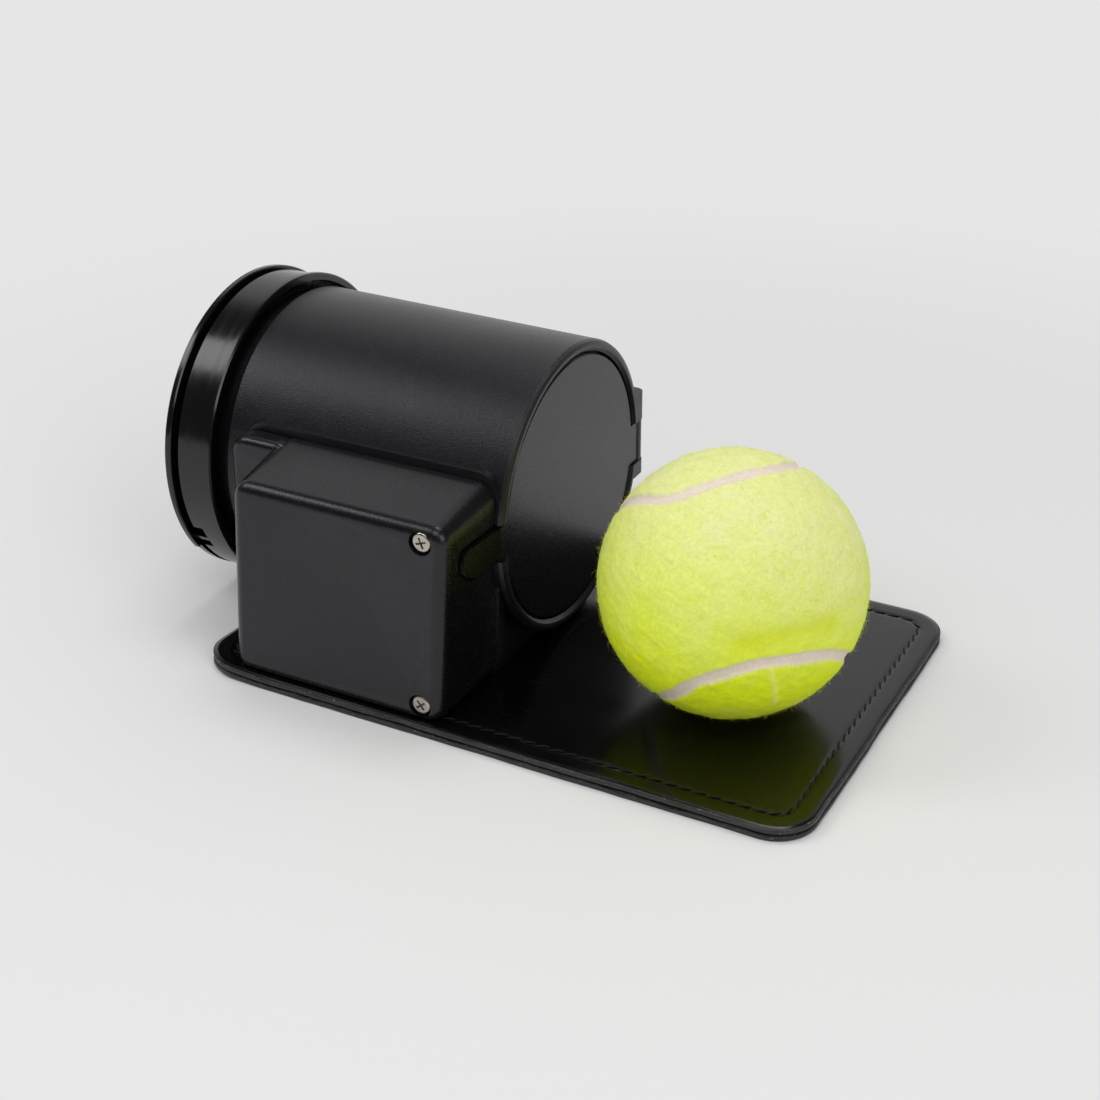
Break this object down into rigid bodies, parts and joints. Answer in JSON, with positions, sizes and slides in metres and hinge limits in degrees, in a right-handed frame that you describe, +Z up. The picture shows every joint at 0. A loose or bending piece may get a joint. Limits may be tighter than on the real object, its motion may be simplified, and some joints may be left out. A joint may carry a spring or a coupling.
{
  "type": "automatic dog ball launcher",
  "caption": "Hand-size ball launcher for dogs: black tube with a hinged lid, rear cap and electronics box on a stitched leather mat, with a felt ball in front of the lid.",
  "frame": {"origin": "middle of the mat's underside, on the floor", "axes": "+X along the tube's axis out through the lid, +Y towards the lid's hinge and away from the electronics box, +Z up"},
  "size_m": [0.1913, 0.111, 0.0866],
  "materials": {
    "tube_plastic": "fine-grained black ABS",
    "cap_plastic": "smooth black ABS",
    "lid_plastic": "grained black ABS",
    "pin_steel": "drawn steel",
    "pusher_plastic": "natural acetal",
    "spring_steel": "zinc-plated spring wire",
    "cover_plastic": "fine-grained black ABS",
    "screw_nickel": "nickel-plated steel",
    "cell_wrap": "aluminium-laminate pouch",
    "board_laminate": "solder-masked laminate",
    "chip_epoxy": "moulded epoxy",
    "radio_can": "tinned can",
    "switch_plastic": "moulded nylon",
    "button_plastic": "satin grey ABS",
    "light_clear": "clear acrylic",
    "socket_metal": "bent nickel-plated sheet",
    "plug_rubber": "soft black rubber",
    "solenoid_steel": "zinc-plated frame and wound coil",
    "bolt_steel": "turned steel",
    "lead_jacket": "two-core silicone lead",
    "top_leather": "coated black leather",
    "bottom_leather": "coated black leather",
    "plate_steel": "zinc-plated sheet",
    "core_rubber": "moulded rubber",
    "ball_felt": "optic-yellow felt"
  },
  "bodies": {
    "launcher": {"tube_body": "tube_plastic", "rear_cap": "cap_plastic", "hinge_pin": "pin_steel", "launch_spring": "spring_steel", "box_cover": "cover_plastic", "long_cover_screws": "screw_nickel", "short_cover_screws": "screw_nickel", "battery": "cell_wrap", "circuit_board": "board_laminate", "board_chips": "chip_epoxy", "radio_module": "radio_can", "power_switch": "switch_plastic", "status_light": "light_clear", "charge_socket": "socket_metal", "socket_plug": "plug_rubber", "solenoid": "solenoid_steel", "battery_lead": "lead_jacket", "solenoid_lead": "lead_jacket", "top_ply": "top_leather", "bottom_ply": "bottom_leather", "base_plate": "plate_steel", "mat_screws": "screw_nickel"},
    "lid": {"lid": "lid_plastic"},
    "pusher": {"pusher": "pusher_plastic"},
    "latch": {"latch_bolt": "bolt_steel"},
    "button": {"power_button": "button_plastic"},
    "ball": {"ball_core": "core_rubber", "ball_felt": "ball_felt"}
  },
  "joints": [
    {"name": "lid_hinge", "type": "hinge", "parent": "launcher", "child": "lid", "pos_m": [-0.0083, 0.0485, 0.0405], "axis": [0, 0, 1], "range_deg": [0, 105]},
    {"name": "pusher_slide", "type": "slide", "parent": "launcher", "child": "pusher", "axis": [1, 0, 0], "range_m": [-0.026, 0], "stiffness_N_per_m": 350, "deforming": ["launch_spring"]},
    {"name": "latch_slide", "type": "slide", "parent": "launcher", "child": "latch", "axis": [0, 0, 1], "range_m": [0, 0.0031]},
    {"name": "button_press", "type": "slide", "parent": "launcher", "child": "button", "axis": [1, 0, 0], "range_m": [0, 0.0008], "stiffness_N_per_m": 900},
    {"name": "ball_roll", "type": "slide", "parent": "launcher", "child": "ball", "axis": [1, 0, 0], "range_m": [0, 0.12]}
  ],
  "couplings": [
    {"joint": "ball_roll", "follows": "lid_hinge", "m_per_rad": 0.064}
  ]
}
